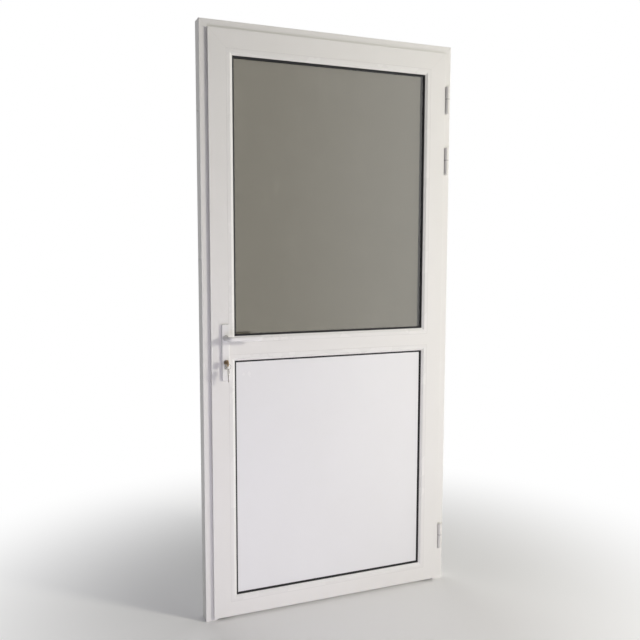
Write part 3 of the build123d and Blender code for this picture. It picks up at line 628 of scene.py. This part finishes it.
lever_x = inner_x
lever_z = (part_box("spindle")[0].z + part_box("spindle")[1].z) / 2
outer_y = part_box("outer_backplate")[0].y
turned_piece("outer_lever_ring", [turned_points(ring_profile(), (lever_x, outer_y, lever_z), "-Y")],
             "leaf", "white_hardware")
turned_piece("inner_lever_ring", [turned_points(ring_profile(), (lever_x, inner_high.y, lever_z), "+Y")],
             "leaf", "white_hardware")

washer_low, washer_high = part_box("hinge_washers")
pin_x, pin_y = (washer_low.x + washer_high.x) / 2, (washer_low.y + washer_high.y) / 2
tops = [(pin_x, pin_y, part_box(f"{hinge}_hinge_leaf_part")[1].z) for hinge in HINGES]
feet = [(pin_x, pin_y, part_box(f"{hinge}_hinge_frame_part")[0].z) for hinge in HINGES]
turned_piece("hinge_top_caps", [turned_points(cap_profile(), place, "+Z") for place in tops],
             "leaf", "white_hinge")
turned_piece("hinge_foot_caps", [turned_points(cap_profile(), place, "-Z") for place in feet],
             "frame", "white_hinge")

# %% [markdown]
# ## Floor
#
# A pale floor keeps the door's soft shadow close to it. Further out it turns into plain white where it is
# seen, and lets a mirrored view pass through to the world behind it, so that no horizon shows behind the door
# or in its glass. Light that only falls on it still bounces. The change follows the distance from the door.

# %% Floor
FLOOR_HALF = 14.0
FADE_START, FADE_END = 0.5, 1.9
FLOOR_WHITE = (0.90, 0.90, 0.90, 1.0)


def floor_material():
    """Pale near the door. Further out it is white where it is seen, and open to the world where mirrored."""
    material = bpy.data.materials.new("studio floor")
    material.use_nodes = True
    graph = material.node_tree
    graph.nodes.clear()
    f = Finish(graph)
    x, y = f.split(f.place())[:2]
    off_x, off_y = x - DOOR_MIDDLE.x, y - DOOR_MIDDLE.y
    far = f.fade((off_x * off_x + off_y * off_y).root(), FADE_START, FADE_END)
    pale = f.add("ShaderNodeBsdfDiffuse", sockets={"Color": FLOOR_WHITE})
    light = f.add("ShaderNodeEmission", sockets={"Color": (1.0, 1.0, 1.0, 1.0), "Strength": 1.0})
    open_floor = f.add("ShaderNodeBsdfTransparent")
    rays = f.add("ShaderNodeLightPath").socket.node.outputs
    mirrored = Value(f, rays["Is Glossy Ray"])
    seen = Value(f, rays["Is Camera Ray"]).most(Value(f, rays["Is Transmission Ray"])).most(mirrored)
    far_part = f.add("ShaderNodeMixShader", sockets={0: mirrored, 1: light, 2: open_floor})
    surface = f.add("ShaderNodeMixShader", sockets={0: far * seen, 1: pale, 2: far_part})
    f.add("ShaderNodeOutputMaterial", sockets={"Surface": surface})
    return material


floor_mesh = bpy.data.meshes.new("studio_floor")
corners = [(sx * FLOOR_HALF, sy * FLOOR_HALF, 0.0) for sx, sy in ((-1, -1), (1, -1), (1, 1), (-1, 1))]
floor_mesh.from_pydata(corners, [], [(0, 1, 2, 3)])
floor_mesh.materials.append(floor_material())
floor = bpy.data.objects.new("studio_floor", floor_mesh)
bpy.context.scene.collection.objects.link(floor)
print("floor", 2 * FLOOR_HALF, "m across")

# %% [markdown]
# ## Light
#
# In the photograph a lamp to the right throws a short soft shadow to the left of every step: beside the
# leaf, the handle's plate, the keys and each hinge. Its size sets how soft those shadows are, and its
# distance how fast they darken. A cooler light from the lower left keeps the near jamb readable, and one
# behind stops the back from going dark. A square lamp would show as a hard white square in the glass and in
# the gloss of the coat, so the lamps only light, and what is mirrored comes from the world.

# %% Lamps


def area_light(name, place, target, size, power, colour=(1.0, 1.0, 1.0)):
    """A square soft light that looks at a target and isn't seen itself, in the glass or in the gloss."""
    data = bpy.data.lights.new(name, "AREA")
    data.size, data.energy, data.color = size, power, colour
    lamp = bpy.data.objects.new(name, data)
    bpy.context.scene.collection.objects.link(lamp)
    lamp.location = place
    lamp.rotation_euler = (Vector(target) - Vector(place)).to_track_quat("-Z", "Y").to_euler()
    lamp.visible_camera = lamp.visible_transmission = lamp.visible_glossy = False


WARM, COOL = (1.0, 0.962, 0.855), (0.87, 0.82, 1.0)
AIM = (-0.4875, 0.0, 1.1)
LOW_AIM = (-0.8, 0.0, 0.25)
area_light("key", (1.82, -2.6, 1.88), AIM, size=0.5, power=64.0, colour=WARM)
area_light("fill", (-1.2, -1.9, 0.15), LOW_AIM, size=1.0, power=18.0, colour=COOL)
area_light("back", (-0.8, 3.2, 2.6), AIM, size=2.4, power=40.0)

# %% [markdown]
# ## World
#
# The world is plain white where the camera sees it, also through the glass. Where it only lights the door it
# is dimmer, so that white pieces keep their shades, and it grows brighter towards the right, as daylight from
# one side does. Where daylight comes from is brighter still when it is mirrored, so what the glass and the
# gloss of the coat mirror gets a range of its own in front of the door, and an even level behind it.

# %% World
DIM, BRIGHT = 0.12, 0.78
MIRRORED_DIM, MIRRORED_BRIGHT, MIRRORED_BEHIND = 0.22, 1.6, 0.6
BRIGHT_SIDE = (0.05, 0.85)
MIRRORED_SIDE = (0.27, 0.54)
FRONT_SIDE = (-0.5, 0.0)
world = bpy.data.worlds.new("studio")
world.use_nodes = True
world.node_tree.nodes.clear()
w = Finish(world.node_tree)
rays = w.add("ShaderNodeLightPath").socket.node.outputs
seen = Value(w, rays["Is Camera Ray"]).most(Value(w, rays["Is Transmission Ray"]))
sideways, depthways = w.split(w.add("ShaderNodeTexCoord", output=0))[:2]
soft = w.fade(sideways, *BRIGHT_SIDE, DIM, BRIGHT)
in_front = w.fade(depthways, *FRONT_SIDE, 1.0, 0.0)
mirrored_in_front = w.fade(sideways, *MIRRORED_SIDE, MIRRORED_DIM, MIRRORED_BRIGHT)
mirrored = MIRRORED_BEHIND + in_front * (mirrored_in_front - MIRRORED_BEHIND)
lighting = soft + Value(w, rays["Is Glossy Ray"]) * (mirrored - soft)
strength = lighting + seen * (1.0 - lighting)
background = w.add("ShaderNodeBackground", sockets={"Color": (1.0, 1.0, 1.0, 1.0), "Strength": strength})
w.add("ShaderNodeOutputWorld", sockets={"Surface": background})
bpy.context.scene.world = world
bpy.context.scene.view_settings.view_transform = "Standard"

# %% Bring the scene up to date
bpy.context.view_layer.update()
